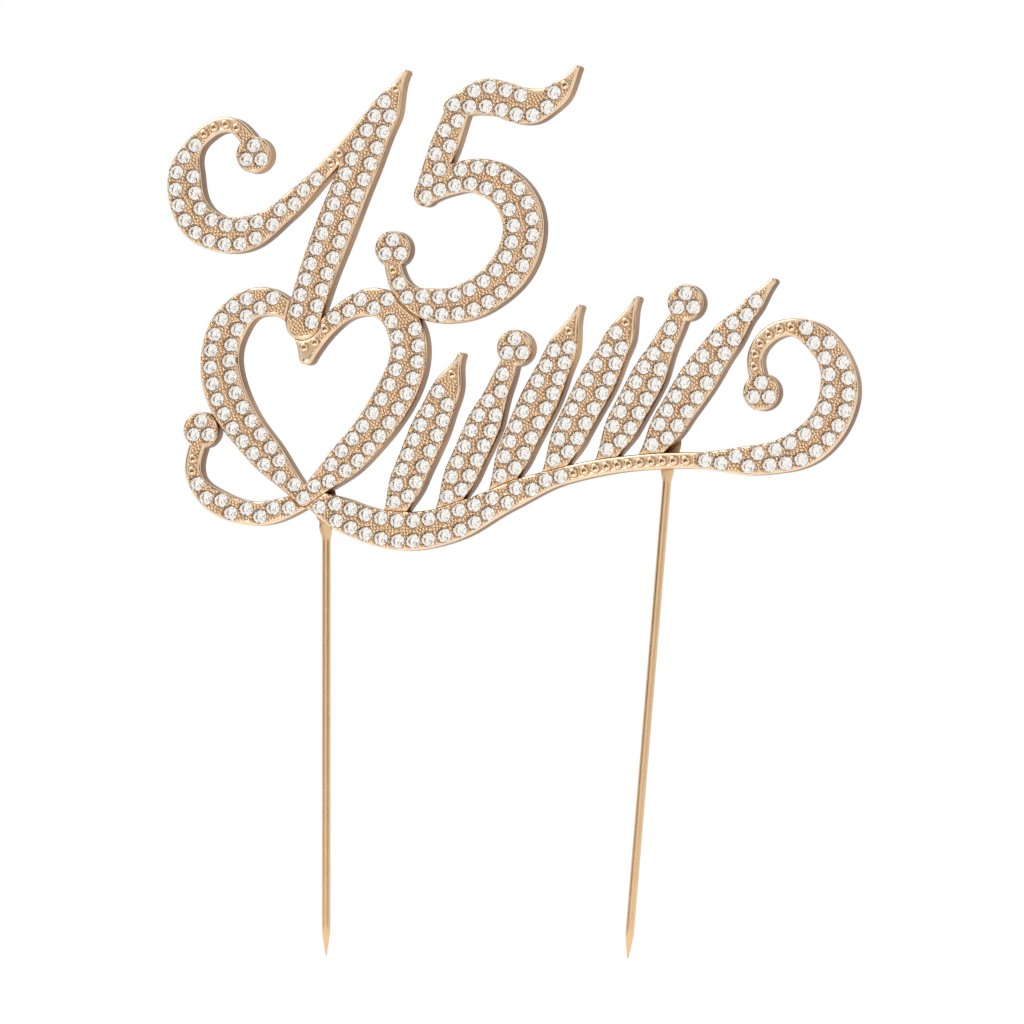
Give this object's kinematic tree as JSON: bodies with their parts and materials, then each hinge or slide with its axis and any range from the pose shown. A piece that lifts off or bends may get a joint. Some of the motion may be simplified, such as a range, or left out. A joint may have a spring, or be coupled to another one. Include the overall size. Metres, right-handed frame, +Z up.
{
  "type": "cake topper",
  "caption": "Upright cake topper: a jewelled gold panel with plain numerals over an open heart and a leafy scroll, on two pointed wire prongs.",
  "frame": {"origin": "on the left prong's axis, level with the surface that the prongs go into", "axes": "+Z up along the left prong; +X to the right seen from the jewelled front, along the panel; -Y out of the jewelled front"},
  "size_m": [0.1247, 0.007, 0.1545],
  "materials": {
    "gold_casting": "cast zinc alloy, polished and plated in pale rose gold",
    "gold_wire": "drawn steel wire, plated in pale gold",
    "crystal": "faceted clear glass with a silver foil back",
    "glue": "clear cured resin",
    "brazing": "brazing filler, plated over with the rest"
  },
  "bodies": {
    "root": {"numeral_one": "gold_casting", "numeral_one_stones": "crystal", "numeral_one_glue": "glue", "numeral_five": "gold_casting", "numeral_five_stones": "crystal", "numeral_five_glue": "glue", "heart": "gold_casting", "heart_stones": "crystal", "heart_glue": "glue", "vine": "gold_casting", "vine_stones": "crystal", "vine_glue": "glue", "tail_curl": "gold_casting", "tail_curl_stones": "crystal", "tail_curl_glue": "glue", "leaf_1": "gold_casting", "leaf_1_stones": "crystal", "leaf_1_glue": "glue", "leaf_2": "gold_casting", "leaf_2_stones": "crystal", "leaf_2_glue": "glue", "leaf_3": "gold_casting", "leaf_3_stones": "crystal", "leaf_3_glue": "glue", "leaf_4": "gold_casting", "leaf_4_stones": "crystal", "leaf_4_glue": "glue", "bud_1": "gold_casting", "bud_1_stones": "crystal", "bud_1_glue": "glue", "bud_2": "gold_casting", "bud_2_stones": "crystal", "bud_2_glue": "glue", "left_prong": "gold_wire", "left_prong_braze": "brazing", "right_prong": "gold_wire", "right_prong_braze": "brazing", "joint_braze_drops": "brazing"}
  },
  "joints": []
}
